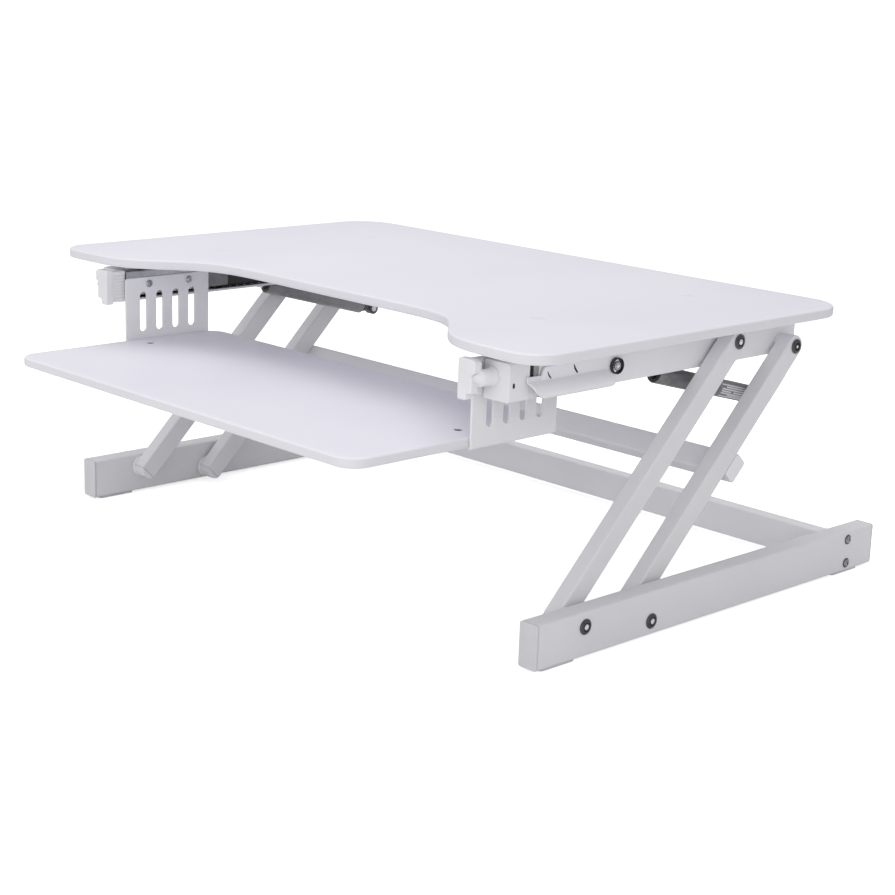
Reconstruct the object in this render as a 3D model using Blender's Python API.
"""Standing desk converter: a parallelogram-lift worktop with a sliding keyboard tray.

Frame of the part: +Z up, X across the desk, +Y towards the back. The origin is on the
floor, in the middle of the whole footprint. Lengths are in millimetres, with y counted
from the front end of the base rails and z from their underside; world() turns them into
metres in the part's frame. "In" and "out" are distances from the middle plane, |x|.
"""

import math

import bmesh
import bpy
from mathutils import Vector

# ---------------------------------------------------------------- main dimensions (mm)
GAP = 0.3  # between neighbouring pieces
CUT = 5.0  # usual overrun of a cutter past what it cuts
HOLE_R = 4.4
SHANK_R = 4.0
TUBE_WALL = 1.8  # of the arms and both crossbars
PLUG_PLAY = 0.4  # around the plugs of the rail caps

RAIL_OUT, RAIL_T, RAIL_H, RAIL_L = 414.4, 25.1, 49.4, 594.0  # base rail
RAIL_IN = RAIL_OUT - RAIL_T

LOWER_FRONT = (72.8, 33.1)  # lower pivots, (y, z)
LOWER_REAR = (179.5, 15.8)
ARM_L = 376.8  # pivot to pivot
ARM_SLOPE = math.radians(45.1)  # at rest
ARM_IN, ARM_OUT = 365.0, 385.0
ARM_HALF = 12.75  # half the arm's depth

TOP_Z, TOP_T = 331.6, 11.5
TOP_HALF, TOP_Y0, TOP_Y1 = 422.0, -27.5, 498.0
TRAY_Z, TRAY_T = 225.4, 11.5
TRAY_HALF, TRAY_Y0, TRAY_Y1 = 307.5, -161.5, 134.0

# upper rail, a channel open below
CH_IN, CH_OUT, CH_T = 324.7, 361.5, 2.2
CH_Y0, CH_Y1 = 29.3, 473.0
CH_Z0, CH_Z1 = 272.0, TOP_Z - TOP_T - GAP
CH_WALL_IN = CH_OUT - CH_T  # inner face of the channel's outer wall
CAP_Y0 = -1.2  # front face of the channel's cap

PLATE_IN, PLATE_OUT = 308.8, 311.7  # upright plate of the tray bracket
PLATE_Y0, PLATE_Y1, PLATE_Z1 = -2.2, 124.5, 302.4
TRAY_SCREW = (277.4, 11.9)  # |x| and y of the screws through the tray

SPRING_X = 342.8
SPRING_SLOPE = math.radians(14.8)
EYE_ALONG, EYE_BEHIND = 324.3, 39.7  # rear eye of the gas spring, from the rear arm's pivot
SPRING_PIN_Y = 150.0

FLOOR_Z = -3.0  # the rails stand this high on their rubber feet
MIDDLE_Y = (TRAY_Y0 + RAIL_L) / 2  # middle of the whole length

SIDES = (("left", -1), ("right", 1))

# ---------------------------------------------------------------- scene and materials
for old in list(bpy.data.objects):
    bpy.data.objects.remove(old, do_unlink=True)
SCENE = bpy.context.scene
SCENE.unit_settings.system = "METRIC"
SCENE.unit_settings.scale_length = 1.0


def material(name, colour, roughness, metallic=0.0):
    mat = bpy.data.materials.new(name)
    mat.use_nodes = True
    shader = mat.node_tree.nodes["Principled BSDF"]
    shader.inputs["Base Color"].default_value = (*colour, 1.0)
    shader.inputs["Roughness"].default_value = roughness
    shader.inputs["Metallic"].default_value = metallic
    return mat


POWDER = material("white_powder_coat", colour=(0.80, 0.80, 0.82), roughness=0.42)
LAMINATE = material("white_laminate", colour=(0.80, 0.79, 0.84), roughness=0.38)
PLASTIC = material("white_plastic", colour=(0.74, 0.74, 0.75), roughness=0.45)
BLACK_PLASTIC = material("black_plastic", colour=(0.015, 0.015, 0.016), roughness=0.45)
DARK_STEEL = material("dark_steel", colour=(0.05, 0.05, 0.055), roughness=0.32, metallic=0.85)
SPRING_GREY = material("spring_grey", colour=(0.055, 0.055, 0.06), roughness=0.35, metallic=0.3)
BRIGHT_STEEL = material("bright_steel", colour=(0.62, 0.62, 0.63), roughness=0.25, metallic=1.0)
RUBBER = material("rubber", colour=(0.55, 0.55, 0.56), roughness=0.8)


# ---------------------------------------------------------------- placing
# A place function turns a profile point and a depth into a world point.
def world(x, y, z):
    return Vector((x, y - MIDDLE_Y, z - FLOOR_Z)) / 1000.0


def along_x(y, z, x):
    return world(x, y, z)


def along_y(x, z, y):
    return world(x, y, z)


def along_z(x, y, z):
    return world(x, y, z)


def outward(side):
    """Places (y, z) profile points at |x| on one side."""
    return lambda y, z, x: world(side * x, y, z)


def x_axis_at(centre, side):
    """Places a turned piece on a line along X through centre (y, z), axis distances being |x|."""
    return lambda x, dy, dz: world(side * x, centre[0] + dy, centre[1] + dz)


def sided(side, inner, outer):
    """The x range from inner to outer on one side, in rising order."""
    return (inner, outer) if side > 0 else (-outer, -inner)


def on_side(points, side, mid_z=0.0):
    """Turns (|x|, z above mid_z) points into (x, z) points."""
    return [(side * x, mid_z + z) for x, z in points]


ARM_DY, ARM_DZ = math.cos(ARM_SLOPE), math.sin(ARM_SLOPE)  # up along the arm


def arm_point(pivot, along, behind):
    """(y, z) of a point up along an arm, then square to it, back and down."""
    return (
        pivot[0] + along * ARM_DY + behind * ARM_DZ,
        pivot[1] + along * ARM_DZ - behind * ARM_DY,
    )


def arm_place(pivot, side):
    """Places (along, behind) profile points of an arm at |x|."""
    return lambda along, behind, x: world(side * x, *arm_point(pivot, along, behind))


UPPER_FRONT = arm_point(LOWER_FRONT, ARM_L, 0)
UPPER_REAR = arm_point(LOWER_REAR, ARM_L, 0)
EYE = arm_point(LOWER_REAR, EYE_ALONG, EYE_BEHIND)
SPRING_DY, SPRING_DZ = -math.cos(SPRING_SLOPE), math.sin(SPRING_SLOPE)  # forwards and up
PIN_REACH = (EYE[0] - SPRING_PIN_Y) / math.cos(SPRING_SLOPE)  # from rear eye to front pin
SPRING_PIN = (SPRING_PIN_Y, EYE[1] + PIN_REACH * SPRING_DZ)


def spring_place(side):
    """Axis distances run from the rear eye up the spring, towards the front pin."""
    return lambda reach, across, up: world(
        side * SPRING_X + across,
        EYE[0] + reach * SPRING_DY - up * SPRING_DZ,
        EYE[1] + reach * SPRING_DZ + up * SPRING_DY,
    )


# ---------------------------------------------------------------- profiles and solids
def rectangle(a0, a1, b0, b1):
    return [(a0, b0), (a1, b0), (a1, b1), (a0, b1)]


def circle(a, b, radius, segments):
    angles = [2 * math.pi * i / segments for i in range(segments)]
    return [(a + radius * math.cos(t), b + radius * math.sin(t)) for t in angles]


def arc(a, b, radius, start, end, segments):
    """Points of an arc, angles in degrees."""
    angles = [math.radians(start + (end - start) * i / segments) for i in range(segments + 1)]
    return [(a + radius * math.cos(t), b + radius * math.sin(t)) for t in angles]


def rounded(a0, a1, b0, b1, radius, segments=3):
    """A rectangle with rounded corners."""
    return (
        arc(a0 + radius, b0 + radius, radius, 180, 270, segments)
        + arc(a1 - radius, b0 + radius, radius, 270, 360, segments)
        + arc(a1 - radius, b1 - radius, radius, 0, 90, segments)
        + arc(a0 + radius, b1 - radius, radius, 90, 180, segments)
    )


def prism(points, place, start, end):
    """A closed prism over a profile, from depth start to depth end."""
    solid = bmesh.new()
    first = [solid.verts.new(place(*point, start)) for point in points]
    last = [solid.verts.new(place(*point, end)) for point in points]
    solid.faces.new(first)
    solid.faces.new(list(reversed(last)))
    for i in range(len(points)):
        j = (i + 1) % len(points)
        solid.faces.new((first[i], first[j], last[j], last[i]))
    return solid


def box(x0, x1, y0, y1, z0, z1):
    return prism(rectangle(x0, x1, y0, y1), along_z, z0, z1)


def cylinder(centre, radius, place, start, end, segments=16):
    return prism(circle(*centre, radius, segments), place, start, end)


def turned(profile, place, segments=16):
    """A solid of revolution. profile holds (distance along the axis, radius), ending on the
    axis at both ends."""
    solid = bmesh.new()
    rings = []
    for reach, radius in profile:
        points = [(0, 0)] if radius == 0 else circle(0, 0, radius, segments)
        rings.append([solid.verts.new(place(reach, *point)) for point in points])
    for one, two in zip(rings, rings[1:]):
        for i in range(segments):
            j = (i + 1) % segments
            if len(one) == 1:
                solid.faces.new((one[0], two[i], two[j]))
            elif len(two) == 1:
                solid.faces.new((one[j], one[i], two[0]))
            else:
                solid.faces.new((one[i], two[i], two[j], one[j]))
    return solid


# ---------------------------------------------------------------- objects
ORIGINS = {}  # world position of every empty


def empty(name, at, parent=None):
    obj = bpy.data.objects.new(name, None)
    SCENE.collection.objects.link(obj)
    obj.location = at if parent is None else at - ORIGINS[parent]
    obj.parent = parent
    obj.empty_display_size = 0.02
    ORIGINS[obj] = at
    return obj


def finish(name, solid, mat, parent, smooth_angle=35.0):
    """Links a solid whose points are in world metres, with its origin on its parent's."""
    bmesh.ops.recalc_face_normals(solid, faces=solid.faces)
    for vert in solid.verts:
        vert.co -= ORIGINS[parent]
    mesh = bpy.data.meshes.new(name)
    solid.to_mesh(mesh)
    solid.free()
    mesh.materials.append(mat)
    mesh.shade_smooth()
    mesh.set_sharp_from_angle(angle=math.radians(smooth_angle))
    obj = bpy.data.objects.new(name, mesh)
    SCENE.collection.objects.link(obj)
    obj.parent = parent
    return obj


def boolean(target, name, solid, operation):
    """Combines target with a hidden helper object."""
    helper = finish(name, solid, POWDER, target.parent)
    helper.hide_render = True
    helper.display_type = "WIRE"
    mod = target.modifiers.new(operation.title(), "BOOLEAN")
    mod.operation = operation
    mod.object = helper
    mod.solver = "EXACT"


def cut(target, name, solid):
    boolean(target, name, solid, "DIFFERENCE")


def add(target, name, solid):
    boolean(target, name, solid, "UNION")


# shared empties on the joints; those of single pieces are made with the pieces
BASE = empty("base_group", Vector((0, 0, 0)))
REAR_ARMS = empty("rear_arms_group", world(0, *LOWER_REAR), BASE)
UPPER_FRAME = empty("upper_frame_group", world(0, *UPPER_REAR), REAR_ARMS)
TRAY_GROUP = empty("tray_group", world(0, PLATE_Y0, TRAY_Z), UPPER_FRAME)

# ---------------------------------------------------------------- pivot bolts
# button head with a socket: (distance out from the face under the head, radius)
BUTTON_HEAD = (
    (2.0, 0), (2.0, 2.3), (3.6, 2.6), (3.6, 4.2),
    (1.3, 7.0), (1.2, 8.2), (0.0, 8.2), (0.0, SHANK_R),
)
WASHER_R = 9.0
NUT_R, NUT_T = 6.6, 4.5


def button_head(face):
    return [(face + out, radius) for out, radius in BUTTON_HEAD]


def lower_pivot_bolt(position, pivot, side_name, side):
    """Head outside the base rail, shank into the hollow of the arm."""
    tip = ARM_IN + TUBE_WALL + 1.0
    profile = button_head(RAIL_OUT + GAP) + [(tip, SHANK_R), (tip, 0)]
    solid = turned(profile, x_axis_at(pivot, side))
    finish(f"lower_pivot_bolt_{position}_{side_name}", solid, DARK_STEEL, BASE)


def upper_pivot_bolt(position, pivot, side_name, side):
    """Head outside the arm, thin washer between arm and channel, nut inside the channel."""
    nut_face = CH_WALL_IN - GAP
    profile = button_head(ARM_OUT + GAP) + [
        (ARM_IN - GAP, SHANK_R),
        (ARM_IN - GAP, WASHER_R),
        (CH_OUT + GAP, WASHER_R),
        (CH_OUT + GAP, SHANK_R),
        (nut_face, SHANK_R),
        (nut_face, NUT_R),
        (nut_face - NUT_T, NUT_R),
        (nut_face - NUT_T, 0),
    ]
    solid = turned(profile, x_axis_at(pivot, side))
    finish(f"upper_pivot_bolt_{position}_{side_name}", solid, DARK_STEEL, UPPER_FRAME)


# ---------------------------------------------------------------- base
RAIL_WALL, RAIL_CORNER = 2.0, 2.0
END_CAP_T = 2.6
END_PLUG_REACH, END_PLUG_OVERLAP = 14.5, 0.5  # plug's reach from the rail end, and into the cap
FOOT_INSET, FOOT_L, FOOT_CORNER = 2.5, 51.0, 4.0
FOOT_Y0 = {"front": 11.0, "rear": 519.0}

CROSS_Y0, CROSS_Y1, CROSS_Z0, CROSS_Z1 = 531.5, 551.5, 3.5, 43.0
CROSS_CORNER = 1.8


def rail_profile(side):
    return rounded(*sided(side, RAIL_IN, RAIL_OUT), 0, RAIL_H, RAIL_CORNER, 2)


def base_rail(side_name, side):
    end = END_CAP_T + GAP
    solid = prism(rail_profile(side), along_y, end, RAIL_L - end)
    rail = finish(f"base_rail_{side_name}", solid, POWDER, BASE)
    hollow = box(
        *sided(side, RAIL_IN + RAIL_WALL, RAIL_OUT - RAIL_WALL),
        -CUT, RAIL_L + CUT, RAIL_WALL, RAIL_H - RAIL_WALL,
    )
    cut(rail, f"cut_rail_{side_name}", hollow)
    for position, pivot in (("front", LOWER_FRONT), ("rear", LOWER_REAR)):
        hole = cylinder(pivot, HOLE_R, outward(side), RAIL_IN - CUT, RAIL_OUT + CUT)
        cut(rail, f"cut_rail_hole_{position}_{side_name}", hole)


def rail_end_caps(side_name, side):
    """Flat caps, each with a plug in the rail."""
    inset = RAIL_WALL + PLUG_PLAY
    plug_start = END_CAP_T - END_PLUG_OVERLAP
    # position, cap y range, plug y range
    for position, cap_y, plug_y in (
        ("front", (0.0, END_CAP_T), (plug_start, END_PLUG_REACH)),
        ("rear", (RAIL_L - END_CAP_T, RAIL_L), (RAIL_L - END_PLUG_REACH, RAIL_L - plug_start)),
    ):
        solid = prism(rail_profile(side), along_y, *cap_y)
        cap = finish(f"rail_end_cap_{position}_{side_name}", solid, PLASTIC, BASE)
        plug_x = sided(side, RAIL_IN + inset, RAIL_OUT - inset)
        plug = box(*plug_x, *plug_y, inset, RAIL_H - inset)
        add(cap, f"add_cap_plug_{position}_{side_name}", plug)


def foot_pads(side_name, side):
    x_range = sided(side, RAIL_IN + FOOT_INSET, RAIL_OUT - FOOT_INSET)
    for position, y in FOOT_Y0.items():
        outline = rounded(*x_range, y, y + FOOT_L, FOOT_CORNER)
        solid = prism(outline, along_z, FLOOR_Z, -GAP)
        finish(f"foot_pad_{position}_{side_name}", solid, RUBBER, BASE)


def base_crossbar():
    """Rectangular tube between the base rails."""
    half = RAIL_IN - GAP
    outline = rounded(CROSS_Y0, CROSS_Y1, CROSS_Z0, CROSS_Z1, CROSS_CORNER, 2)
    bar = finish("base_crossbar", prism(outline, along_x, -half, half), POWDER, BASE)
    hollow = box(
        -RAIL_IN - CUT, RAIL_IN + CUT,
        CROSS_Y0 + TUBE_WALL, CROSS_Y1 - TUBE_WALL,
        CROSS_Z0 + TUBE_WALL, CROSS_Z1 - TUBE_WALL,
    )
    cut(bar, "cut_crossbar", hollow)


# ---------------------------------------------------------------- arms
ARM_START = -6.0  # the tube's open lower end, along the arm from the pivot
HOLLOW_END = ARM_L + 7.0

BRACKET_START, BRACKET_END = 305.0, 345.0  # along the rear arm
BRACKET_IN, BRACKET_T = SPRING_X + 11.2, 3.0
BRACKET_FOOT_T, BRACKET_FOOT_SINK = 3.0, 0.6
BRACKET_FOOT_OUT = ARM_OUT - 3.0
BRACKET_EYE_R = 5.8
BRACKET_PIN_IN, BRACKET_PIN_OUT = SPRING_X - 6.6, SPRING_X + 12.0

BUSHING_PLAY = 0.35
BUSHING_PLUG_END = 16.0
BUSHING_FLAT = 0.88 * ARM_HALF  # half depth of its face against the tube
SPACER_R = 13.4

ARMBAR_START, ARMBAR_END = 201.0, 231.0  # along the rear arms
ARMBAR_NEAR, ARMBAR_FAR = 13.05, 33.0  # behind their centre lines
ARMBAR_CORNER = 3.0


def arm(position, pivot, side_name, side, group):
    """Rectangular tube, open at the lower end and rounded at the upper one."""
    place = arm_place(pivot, side)
    outline = [(ARM_START, -ARM_HALF), (ARM_L, -ARM_HALF)]
    outline += arc(ARM_L, 0, ARM_HALF, -90, 90, 8)[1:-1]
    outline += [(ARM_L, ARM_HALF), (ARM_START, ARM_HALF)]
    solid = prism(outline, place, ARM_IN, ARM_OUT)
    tube = finish(f"{position}_arm_{side_name}", solid, POWDER, group)

    half = ARM_HALF - TUBE_WALL
    section = rectangle(ARM_START - CUT, HOLLOW_END, -half, half)
    hollow = prism(section, place, ARM_IN + TUBE_WALL, ARM_OUT - TUBE_WALL)
    cut(tube, f"cut_{position}_arm_{side_name}", hollow)
    # the lower hole goes through the outer wall only
    for end, along, start in (("low", 0.0, ARM_OUT - 6), ("high", ARM_L, ARM_IN - CUT)):
        hole = cylinder((along, 0), HOLE_R, place, start, ARM_OUT + CUT)
        cut(tube, f"cut_{position}_arm_{end}_{side_name}", hole)
    return tube


def spring_bracket(tube, side_name, side):
    """Gas spring bracket: a foot on the rear arm's back face and a plate with the pin."""
    place = arm_place(LOWER_REAR, side)
    section = rectangle(
        BRACKET_START, BRACKET_END, ARM_HALF - BRACKET_FOOT_SINK, ARM_HALF + BRACKET_FOOT_T
    )
    foot = prism(section, place, BRACKET_IN, BRACKET_FOOT_OUT)
    add(tube, f"add_bracket_foot_{side_name}", foot)
    plate_near = ARM_HALF + 0.1
    outline = [(BRACKET_START, plate_near), (BRACKET_END, plate_near)]
    outline += arc(EYE_ALONG, EYE_BEHIND, BRACKET_EYE_R, 0, 180, 8)
    plate = prism(outline, place, BRACKET_IN, BRACKET_IN + BRACKET_T)
    add(tube, f"add_bracket_plate_{side_name}", plate)
    pin = cylinder((EYE_ALONG, EYE_BEHIND), SHANK_R, place, BRACKET_PIN_IN, BRACKET_PIN_OUT)
    add(tube, f"add_bracket_pin_{side_name}", pin)


def arm_bushing(position, pivot, side_name, side, group):
    """Moulded lower end: rounded end, plug in the tube, and the spacer against the base rail."""
    place = arm_place(pivot, side)
    face = ARM_START - GAP
    end_arc = [p for p in arc(0, 0, ARM_HALF, 90, 270, 14) if p[0] < ARM_START - 0.4]
    outline = [(face, BUSHING_FLAT)] + end_arc + [(face, -BUSHING_FLAT)]
    solid = prism(outline, place, ARM_IN, ARM_OUT + 1.0)
    bushing = finish(f"{position}_arm_bushing_{side_name}", solid, PLASTIC, group)

    inset = TUBE_WALL + BUSHING_PLAY
    section = rectangle(ARM_START - 1.0, BUSHING_PLUG_END, -ARM_HALF + inset, ARM_HALF - inset)
    plug = prism(section, place, ARM_IN + inset, ARM_OUT - inset)
    add(bushing, f"add_plug_{position}_{side_name}", plug)
    spacer = cylinder((0, 0), SPACER_R, place, ARM_OUT + GAP, RAIL_IN - GAP, segments=24)
    add(bushing, f"add_spacer_{position}_{side_name}", spacer)
    hole = cylinder((0, 0), HOLE_R, place, ARM_IN - CUT, RAIL_IN + CUT)
    cut(bushing, f"cut_bushing_{position}_{side_name}", hole)


def arm_crossbar():
    """Rectangular tube across the back of the rear arms."""
    place = arm_place(LOWER_REAR, 1)
    outline = rounded(ARMBAR_START, ARMBAR_END, ARMBAR_NEAR, ARMBAR_FAR, ARMBAR_CORNER, 2)
    bar = finish("arm_crossbar", prism(outline, place, -ARM_OUT, ARM_OUT), POWDER, REAR_ARMS)
    section = rectangle(
        ARMBAR_START + TUBE_WALL, ARMBAR_END - TUBE_WALL,
        ARMBAR_NEAR + TUBE_WALL, ARMBAR_FAR - TUBE_WALL,
    )
    cut(bar, "cut_arm_crossbar", prism(section, place, -ARM_OUT - CUT, ARM_OUT + CUT))


# ---------------------------------------------------------------- worktop and tray
SLAB_BEVEL = 2.6
TOP_FRONT_R, TOP_BACK_R = 36.0, 55.0  # corner radii
TOP_CUT_Y = 64.5  # how far back the concave front edge reaches
BEND_X, BEND_HALF, BEND_STEP = 250, 120, 12  # |x| range and steps of the edge's bend
BEND_SOFTNESS = 45.0
TRAY_FRONT_R, TRAY_BACK_R = 26, 25
TRAY_HOLE_R = 4.6


def slab(name, points, top, thickness, parent):
    solid = prism(points, along_z, top - thickness, top)
    obj = finish(name, solid, LAMINATE, parent, smooth_angle=50.0)
    mod = obj.modifiers.new("Bevel", "BEVEL")
    mod.width = SLAB_BEVEL / 1000.0
    mod.segments = 2
    mod.limit_method = "ANGLE"
    mod.angle_limit = math.radians(60)
    return obj


def recess_y(x):
    """Concave front edge: y at |x|, bending most around BEND_X."""
    bend = math.tanh((BEND_X - x) / BEND_SOFTNESS) / math.tanh(BEND_HALF / BEND_SOFTNESS)
    return (TOP_Y0 + TOP_CUT_Y) / 2 + (TOP_CUT_Y - TOP_Y0) / 2 * bend


def worktop():
    right = arc(TOP_HALF - TOP_FRONT_R, TOP_Y0 + TOP_FRONT_R, TOP_FRONT_R, 270, 360, 7)
    right += arc(TOP_HALF - TOP_BACK_R, TOP_Y1 - TOP_BACK_R, TOP_BACK_R, 0, 90, 9)
    left = [(-x, y) for x, y in reversed(right)]
    bend_range = range(BEND_X + BEND_HALF, BEND_X - BEND_HALF - 1, -BEND_STEP)
    left_bend = [(-x, recess_y(x)) for x in bend_range]
    right_bend = [(-x, y) for x, y in reversed(left_bend)]
    slab("worktop", right + left + left_bend + right_bend, TOP_Z, TOP_T, UPPER_FRAME)


def keyboard_tray():
    front_x, front_y = TRAY_HALF - TRAY_FRONT_R, TRAY_Y0 + TRAY_FRONT_R
    back_x, back_y = TRAY_HALF - TRAY_BACK_R, TRAY_Y1 - TRAY_BACK_R
    outline = (
        arc(front_x, front_y, TRAY_FRONT_R, 270, 360, 6)
        + arc(back_x, back_y, TRAY_BACK_R, 0, 90, 5)
        + arc(-back_x, back_y, TRAY_BACK_R, 90, 180, 5)
        + arc(-front_x, front_y, TRAY_FRONT_R, 180, 270, 6)
    )
    tray = slab("keyboard_tray", outline, TRAY_Z, TRAY_T, TRAY_GROUP)
    for side_name, side in SIDES:
        centre = (side * TRAY_SCREW[0], TRAY_SCREW[1])
        hole = cylinder(centre, TRAY_HOLE_R, along_z, TRAY_Z - TRAY_T - CUT, TRAY_Z + CUT)
        cut(tray, f"cut_tray_{side_name}", hole)


# ---------------------------------------------------------------- upper rails
LEVER_PIVOT = (153.4, 292.4)
LEVER_HOLE_R = 3.5
STUD_R = 5.5
STUD_IN, STUD_OUT = CH_IN + 0.6, SPRING_X - 5.5
WINDOW_YZ = (24.0, 41.5, 286.0, 307.0)  # notch in the front of the outer wall
CAP_IN, CAP_OUT = CH_IN + 0.2, CH_OUT - 0.3
CAP_Z0, CAP_Z1, CAP_CORNER = 270.5, 311.5, 3.0
CAP_PLUG_YZ = (22.0, 46.0, 276.0, 285.0)


def upper_rail(side_name, side):
    profile = [
        (CH_IN, CH_Z0),
        (CH_IN + CH_T, CH_Z0),
        (CH_IN + CH_T, CH_Z1 - CH_T),
        (CH_WALL_IN, CH_Z1 - CH_T),
        (CH_WALL_IN, CH_Z0),
        (CH_OUT, CH_Z0),
        (CH_OUT, CH_Z1),
        (CH_IN, CH_Z1),
    ]
    solid = prism(on_side(profile, side), along_y, CH_Y0, CH_Y1)
    rail = finish(f"upper_rail_{side_name}", solid, POWDER, UPPER_FRAME)
    for label, centre, radius in (
        ("front", UPPER_FRONT, HOLE_R),
        ("rear", UPPER_REAR, HOLE_R),
        ("lever", LEVER_PIVOT, LEVER_HOLE_R),
    ):
        hole = cylinder(centre, radius, outward(side), CH_WALL_IN - 6, CH_OUT + 4)
        cut(rail, f"cut_channel_{label}_{side_name}", hole)
    stud = cylinder(SPRING_PIN, STUD_R, outward(side), STUD_IN, STUD_OUT)
    add(rail, f"add_spring_stud_{side_name}", stud)
    window = box(*sided(side, CH_WALL_IN - 3, CH_OUT + 3), *WINDOW_YZ)
    cut(rail, f"cut_channel_window_{side_name}", window)


def upper_rail_cap(side_name, side):
    """Moulded cap closing the front of the channel, with a plug inside it."""
    outline = rounded(*sided(side, CAP_IN, CAP_OUT), CAP_Z0, CAP_Z1, CAP_CORNER)
    solid = prism(outline, along_y, CAP_Y0, CH_Y0 - GAP)
    cap = finish(f"upper_rail_cap_{side_name}", solid, PLASTIC, UPPER_FRAME)
    plug_x = sided(side, CH_IN + CH_T + PLUG_PLAY, CH_WALL_IN - PLUG_PLAY)
    add(cap, f"add_rail_plug_{side_name}", box(*plug_x, *CAP_PLUG_YZ))


# ---------------------------------------------------------------- ball slides
SL_IN, SL_OUT = 312.0, 324.4
SL_Z0, SL_Z1 = 273.0, 318.2
SL_Y0, SL_Y1 = 1.0, 301.0
SL_MID_Z, SL_HALF = (SL_Z0 + SL_Z1) / 2, (SL_Z1 - SL_Z0) / 2
SL_T = 1.2
LIP_X, LIP_H = SL_IN + 0.8, 3.8
INNER_Y1, INNER_HALF, INNER_OUT = 158.0, 15.5, SL_IN + 9.0
CAGE_Y0, CAGE_Y1 = 25.0, 228.0
CAGE_IN, CAGE_WEB, CAGE_OUT = SL_IN + 2.6, SL_IN + 9.5, SL_IN + 10.6
CAGE_HALF, CAGE_INNER_HALF = 20.4, 16.2


def slide_outer(side_name, side):
    """Fixed member: a channel open inwards, with lips turned towards its mid height."""
    profile = [
        (SL_OUT, -SL_HALF),
        (SL_OUT, SL_HALF),
        (LIP_X, SL_HALF),
        (LIP_X, SL_HALF - LIP_H),
        (LIP_X + SL_T, SL_HALF - LIP_H),
        (LIP_X + SL_T, SL_HALF - SL_T),
        (SL_OUT - SL_T, SL_HALF - SL_T),
        (SL_OUT - SL_T, -SL_HALF + SL_T),
        (LIP_X + SL_T, -SL_HALF + SL_T),
        (LIP_X + SL_T, -SL_HALF + LIP_H),
        (LIP_X, -SL_HALF + LIP_H),
        (LIP_X, -SL_HALF),
    ]
    solid = prism(on_side(profile, side, SL_MID_Z), along_y, SL_Y0, SL_Y1)
    finish(f"slide_outer_{side_name}", solid, BRIGHT_STEEL, UPPER_FRAME)


def slide_inner(side_name, side):
    """Moving member: a channel open outwards."""
    profile = [
        (SL_IN, -INNER_HALF),
        (INNER_OUT, -INNER_HALF),
        (INNER_OUT, -INNER_HALF + SL_T),
        (SL_IN + SL_T, -INNER_HALF + SL_T),
        (SL_IN + SL_T, INNER_HALF - SL_T),
        (INNER_OUT, INNER_HALF - SL_T),
        (INNER_OUT, INNER_HALF),
        (SL_IN, INNER_HALF),
    ]
    solid = prism(on_side(profile, side, SL_MID_Z), along_y, SL_Y0, INNER_Y1)
    return finish(f"slide_inner_{side_name}", solid, BRIGHT_STEEL, TRAY_GROUP)


def ball_retainer(side_name, side):
    """Cage between the two members, open inwards."""
    at = world(side * SL_IN, SL_Y0, SL_Z0)
    group = empty(f"ball_retainer_{side_name}_group", at, UPPER_FRAME)
    profile = [
        (CAGE_IN, -CAGE_HALF),
        (CAGE_OUT, -CAGE_HALF),
        (CAGE_OUT, CAGE_HALF),
        (CAGE_IN, CAGE_HALF),
        (CAGE_IN, CAGE_INNER_HALF),
        (CAGE_WEB, CAGE_INNER_HALF),
        (CAGE_WEB, -CAGE_INNER_HALF),
        (CAGE_IN, -CAGE_INNER_HALF),
    ]
    solid = prism(on_side(profile, side, SL_MID_Z), along_y, CAGE_Y0, CAGE_Y1)
    finish(f"ball_retainer_{side_name}", solid, BLACK_PLASTIC, group)


# ---------------------------------------------------------------- tray brackets
FLANGE_T, FLANGE_IN, FLANGE_INSET = 1.5, 265.0, 4.0
PLATE_Z0 = TRAY_Z - TRAY_T - GAP - FLANGE_T
PLATE_CORNER = 3.0
SLOT_COUNT, SLOT_Y, SLOT_PITCH, SLOT_R = 4, 23.5, 24.8, 5.2
SLOT_Z0, SLOT_Z1 = 233.9, 284.3
FLANGE_HOLE_R = 2.9
BRACKET_SCREW_Y = {"front": 32.3, "rear": 93.1}
BRACKET_SCREW_Z = 294.2
BRACKET_HOLE_R = 2.4

# (height above the tray's top, radius)
TRAY_SCREW_PROFILE = (
    (-1.8, 0), (-1.8, 1.3), (-0.7, 1.5), (-0.7, 4.1), (-3.6, 2.4), (-14.5, 2.4), (-14.5, 0),
)
BRACKET_SHANK_R = 2.0
# (distance out from the plate's inner face, radius)
BRACKET_SCREW_HEAD = (
    (-1.4, 0), (-1.4, 1.2), (-2.6, 1.5), (-2.3, 2.6), (-0.3, 4.3), (-0.3, BRACKET_SHANK_R),
)


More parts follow.
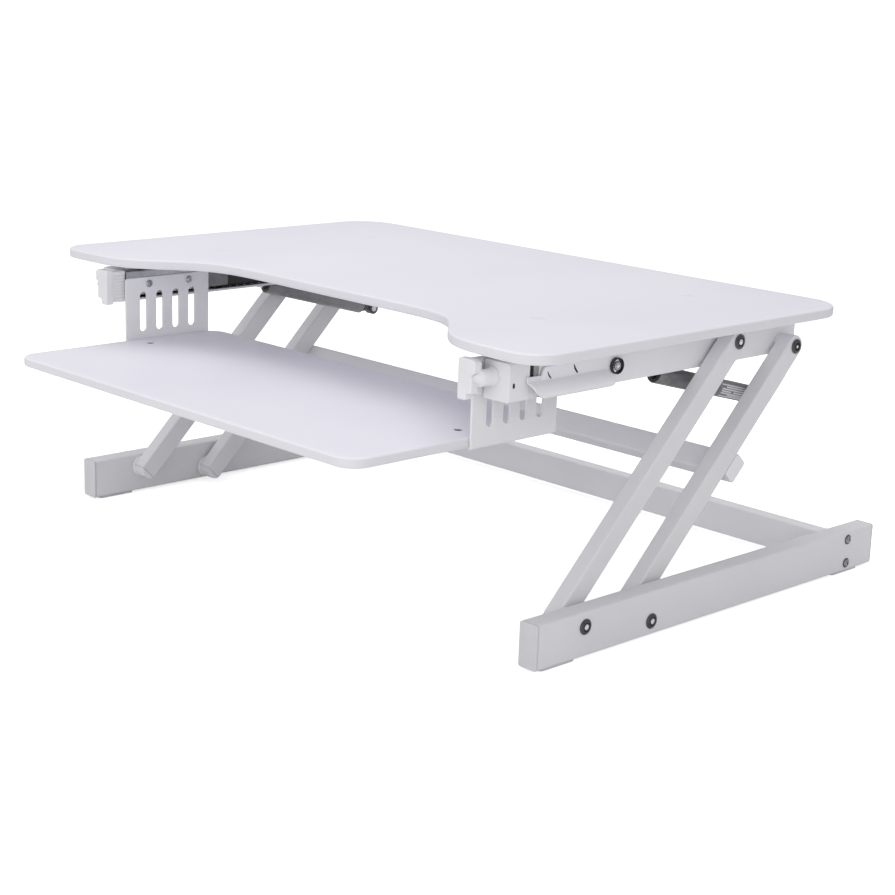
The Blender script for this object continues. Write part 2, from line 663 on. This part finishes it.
def tray_bracket(side_name, side):
    """Upright plate with four slots, folded inwards under the tray."""
    place = outward(side)
    outline = rounded(PLATE_Y0, PLATE_Y1, PLATE_Z0, PLATE_Z1, PLATE_CORNER, 2)
    solid = prism(outline, place, PLATE_OUT, PLATE_IN)
    bracket = finish(f"tray_bracket_{side_name}", solid, POWDER, TRAY_GROUP)
    flange = box(
        *sided(side, FLANGE_IN, PLATE_IN + 1.0),
        PLATE_Y0 + FLANGE_INSET, PLATE_Y1 - FLANGE_INSET,
        PLATE_Z0, PLATE_Z0 + FLANGE_T,
    )
    add(bracket, f"add_flange_{side_name}", flange)
    for i in range(SLOT_COUNT):
        y = SLOT_Y + i * SLOT_PITCH
        slot = arc(y, SLOT_Z1 - SLOT_R, SLOT_R, 0, 180, 6)
        slot += arc(y, SLOT_Z0 + SLOT_R, SLOT_R, 180, 360, 6)
        cutter = prism(slot, place, PLATE_OUT + 3, PLATE_IN - 3)
        cut(bracket, f"cut_slot_{i}_{side_name}", cutter)
    centre = (side * TRAY_SCREW[0], TRAY_SCREW[1])
    hole = cylinder(centre, FLANGE_HOLE_R, along_z, PLATE_Z0 - 3, PLATE_Z0 + 4, segments=12)
    cut(bracket, f"cut_flange_{side_name}", hole)
    return bracket


def tray_screw(side_name, side):
    def place(height, dx, dy):
        return world(side * TRAY_SCREW[0] + dx, TRAY_SCREW[1] + dy, TRAY_Z + height)

    solid = turned(TRAY_SCREW_PROFILE, place, segments=12)
    finish(f"tray_screw_{side_name}", solid, DARK_STEEL, TRAY_GROUP)


def bracket_screws(bracket, inner, side_name, side):
    """Screws from the bracket into the slide's inner member, and the holes for them."""
    web_out = SL_IN + SL_T
    profile = [(PLATE_IN + out, radius) for out, radius in BRACKET_SCREW_HEAD]
    profile += [(web_out + 1.0, BRACKET_SHANK_R), (web_out + 1.0, 0)]
    for position, y in BRACKET_SCREW_Y.items():
        centre = (y, BRACKET_SCREW_Z)
        solid = turned(profile, x_axis_at(centre, side), segments=12)
        finish(f"bracket_screw_{position}_{side_name}", solid, DARK_STEEL, TRAY_GROUP)
        for target, owner in ((bracket, "bracket"), (inner, "inner")):
            hole = cylinder(
                centre, BRACKET_HOLE_R, outward(side), PLATE_IN - 4, web_out + 2, segments=10
            )
            cut(target, f"cut_{owner}_{position}_{side_name}", hole)


# ---------------------------------------------------------------- release levers
LEVER_IN, LEVER_OUT = CH_OUT + 2.0, CH_OUT + 4.0
LEVER_END_R = 11.1
LEVER_TOP = LEVER_PIVOT[1] + LEVER_END_R
GRIP_CENTRE = (CH_OUT + 10.4, 281.6)  # (|x|, z)
GRIP_R_OUT, GRIP_R_IN = 8.0, 6.3
GRIP_Y0, GRIP_Y1 = 22.0, 138.0
LEVER_SLOTS = ((50, 298.7, 56, 290.4), (89, 301.5, 96, 291.2))  # top y, z, bottom y, z
LEVER_SLOT_HALF = 1.0

# bolt, washer and nut: (distance out from the channel's outer face, radius)
LEVER_BOLT_PROFILE = (
    (7.4, 0), (7.4, 3.4), (6.8, 4.8), (5.5, 5.2), (5.5, 7.2), (9.0, 7.4), (9.0, 8.5),
    (4.3, 8.9), (4.3, 3.2), (1.7, 3.2), (1.7, 6.5), (0.3, 6.5), (0.3, 3.2),
    (-CH_T - 0.3, 3.2), (-CH_T - 0.3, 5.5), (-CH_T - 4.3, 5.5), (-CH_T - 4.3, 0),
)


def release_lever(side_name, side):
    """Side plate on its bolt, with a rolled finger grip below."""
    place = outward(side)
    at = world(side * CH_OUT, *LEVER_PIVOT)
    group = empty(f"lever_{side_name}_group", at, UPPER_FRAME)
    outline = [(41.0, 290.5), (44.0, LEVER_TOP), (150.0, LEVER_TOP)]
    outline += arc(*LEVER_PIVOT, LEVER_END_R, 90, -90, 8)
    outline += [(60.0, 287.3)]
    solid = prism(outline, place, LEVER_IN, LEVER_OUT)
    lever = finish(f"release_lever_{side_name}", solid, POWDER, group)

    grip = [(LEVER_IN, 293.0), (LEVER_OUT, 293.0), (LEVER_OUT, 286.5)]
    grip += arc(*GRIP_CENTRE, GRIP_R_OUT, 150, -90, 12)
    grip += arc(*GRIP_CENTRE, GRIP_R_IN, -90, 150, 12)
    grip += [(LEVER_IN, 283.0)]
    add(lever, f"add_grip_{side_name}", prism(on_side(grip, side), along_y, GRIP_Y0, GRIP_Y1))
    hole = cylinder(LEVER_PIVOT, LEVER_HOLE_R, place, CH_OUT - 2, CH_OUT + 8)
    cut(lever, f"cut_lever_{side_name}", hole)
    for top_y, top_z, low_y, low_z in LEVER_SLOTS:
        slot = [
            (top_y - LEVER_SLOT_HALF, top_z),
            (low_y - LEVER_SLOT_HALF, low_z),
            (low_y + LEVER_SLOT_HALF, low_z),
            (top_y + LEVER_SLOT_HALF, top_z),
        ]
        cutter = prism(slot, place, CH_OUT - 1, CH_OUT + 7)
        cut(lever, f"cut_lever_slot_{top_y}_{side_name}", cutter)


def lever_pivot_bolt(side_name, side):
    profile = [(CH_OUT + out, radius) for out, radius in LEVER_BOLT_PROFILE]
    solid = turned(profile, x_axis_at(LEVER_PIVOT, side))
    finish(f"lever_pivot_bolt_{side_name}", solid, DARK_STEEL, UPPER_FRAME)


# ---------------------------------------------------------------- lock rods
LOCK_IN, LOCK_OUT = 354.9, 357.7
LOCK_Y0, LOCK_TAPER_Y, LOCK_Y1 = 60.0, 318.0, 327.0
LOCK_Z, LOCK_HALF, LOCK_TIP_HALF = 307.0, 4.0, 2.0


def lock_rod(side_name, side):
    """Flat bar inside the channel, tapered at its rear end."""
    at = world(side * (LOCK_IN + LOCK_OUT) / 2, LOCK_Y0, LOCK_Z)
    group = empty(f"lock_rod_{side_name}_group", at, UPPER_FRAME)
    outline = [
        (LOCK_Y0, LOCK_Z - LOCK_HALF),
        (LOCK_TAPER_Y, LOCK_Z - LOCK_HALF),
        (LOCK_Y1, LOCK_Z - LOCK_TIP_HALF),
        (LOCK_Y1, LOCK_Z + LOCK_TIP_HALF),
        (LOCK_TAPER_Y, LOCK_Z + LOCK_HALF),
        (LOCK_Y0, LOCK_Z + LOCK_HALF),
    ]
    solid = prism(outline, along_x, *sided(side, LOCK_IN, LOCK_OUT))
    finish(f"lock_rod_{side_name}", solid, BRIGHT_STEEL, group)


# ---------------------------------------------------------------- gas springs
ROD_R = 5.0
BORE_R = ROD_R + 0.4
ROD_START = 138.0  # inner end of the rod, from the rear eye
CYL_EYE_R, CYL_EYE_HALF = 8.0, 6.0
ROD_EYE_R, ROD_EYE_HALF, ROD_HOLE_R = 7.5, 5.0, 3.6
# (distance from the rear eye, radius), ending with the bore
CYLINDER_PROFILE = (
    (7.0, 0), (7.0, 5.0), (14.0, 5.4), (14.0, 8.2), (22.0, 9.6), (22.0, 10.5),
    (198.0, 10.5), (202.0, 9.0), (202.0, BORE_R), (70.0, BORE_R), (70.0, 0),
)


def cross_cylinder(centre, radius, side, half, segments=16):
    """A cylinder along X, centred on the spring's plane."""
    x = side * SPRING_X
    return cylinder(centre, radius, along_x, x - half, x + half, segments)


def gas_spring(side_name, side):
    """Cylinder pinned to the rear arm, rod up to the stud in the channel."""
    at = world(side * SPRING_X, *EYE)
    cylinder_group = empty(f"gas_cylinder_{side_name}_group", at, REAR_ARMS)
    rod_group = empty(f"gas_rod_{side_name}_group", at, cylinder_group)
    place = spring_place(side)

    solid = turned(CYLINDER_PROFILE, place, segments=20)
    body = finish(f"gas_cylinder_{side_name}", solid, SPRING_GREY, cylinder_group)
    add(body, f"add_eye_{side_name}", cross_cylinder(EYE, CYL_EYE_R, side, CYL_EYE_HALF))
    cut(body, f"cut_eye_{side_name}", cross_cylinder(EYE, HOLE_R, side, 12))

    rod_end = PIN_REACH - 5.0
    profile = [(rod_end, 0), (rod_end, ROD_R), (ROD_START, ROD_R), (ROD_START, 0)]
    rod = finish(f"gas_rod_{side_name}", turned(profile, place), BRIGHT_STEEL, rod_group)
    eye = cross_cylinder(SPRING_PIN, ROD_EYE_R, side, ROD_EYE_HALF)
    add(rod, f"add_rod_eye_{side_name}", eye)
    hole = cross_cylinder(SPRING_PIN, ROD_HOLE_R, side, 9, segments=12)
    cut(rod, f"cut_rod_eye_{side_name}", hole)


# ---------------------------------------------------------------- stops in front of the slides
STOP_IN, STOP_OUT, STOP_Z0, STOP_Z1, STOP_CORNER = 314.0, 334.0, 271.0, 314.0, 5.0
STOP_Y0, STOP_Y1 = -28.0, -17.0
STOP_BODY_IN, STOP_BODY_OUT = 314.8, 324.0
STOP_BODY_YZ = (-18.0, 0.5, 273.5, 312.0)
BOSS_X, BOSS_Z, BOSS_R, BOSS_Y0 = 335.5, 294.8, 8.2, -21.5


def tray_stop(side_name, side):
    """Rounded front plate, with a block and a round boss behind it."""
    outline = rounded(*sided(side, STOP_IN, STOP_OUT), STOP_Z0, STOP_Z1, STOP_CORNER)
    solid = prism(outline, along_y, STOP_Y0, STOP_Y1)
    stop = finish(f"tray_stop_{side_name}", solid, PLASTIC, UPPER_FRAME)
    block = box(*sided(side, STOP_BODY_IN, STOP_BODY_OUT), *STOP_BODY_YZ)
    add(stop, f"add_stop_body_{side_name}", block)
    centre = (side * BOSS_X, BOSS_Z)
    boss = cylinder(centre, BOSS_R, along_y, BOSS_Y0, CAP_Y0 - GAP, segments=20)
    add(stop, f"add_stop_boss_{side_name}", boss)


# ---------------------------------------------------------------- assembly
def build_arms(side_name, side):
    at = world(side * ARM_IN, *LOWER_FRONT)
    front_group = empty(f"front_arm_{side_name}_group", at, BASE)
    for position, lower, upper, group in (
        ("front", LOWER_FRONT, UPPER_FRONT, front_group),
        ("rear", LOWER_REAR, UPPER_REAR, REAR_ARMS),
    ):
        tube = arm(position, lower, side_name, side, group)
        if position == "rear":
            spring_bracket(tube, side_name, side)
        arm_bushing(position, lower, side_name, side, group)
        lower_pivot_bolt(position, lower, side_name, side)
        upper_pivot_bolt(position, upper, side_name, side)


def build_side(side_name, side):
    base_rail(side_name, side)
    rail_end_caps(side_name, side)
    foot_pads(side_name, side)
    build_arms(side_name, side)
    upper_rail(side_name, side)
    upper_rail_cap(side_name, side)
    slide_outer(side_name, side)
    inner = slide_inner(side_name, side)
    ball_retainer(side_name, side)
    bracket = tray_bracket(side_name, side)
    tray_screw(side_name, side)
    bracket_screws(bracket, inner, side_name, side)
    release_lever(side_name, side)
    lever_pivot_bolt(side_name, side)
    lock_rod(side_name, side)
    gas_spring(side_name, side)
    tray_stop(side_name, side)


base_crossbar()
arm_crossbar()
worktop()
keyboard_tray()
for each_name, each_side in SIDES:
    build_side(each_name, each_side)
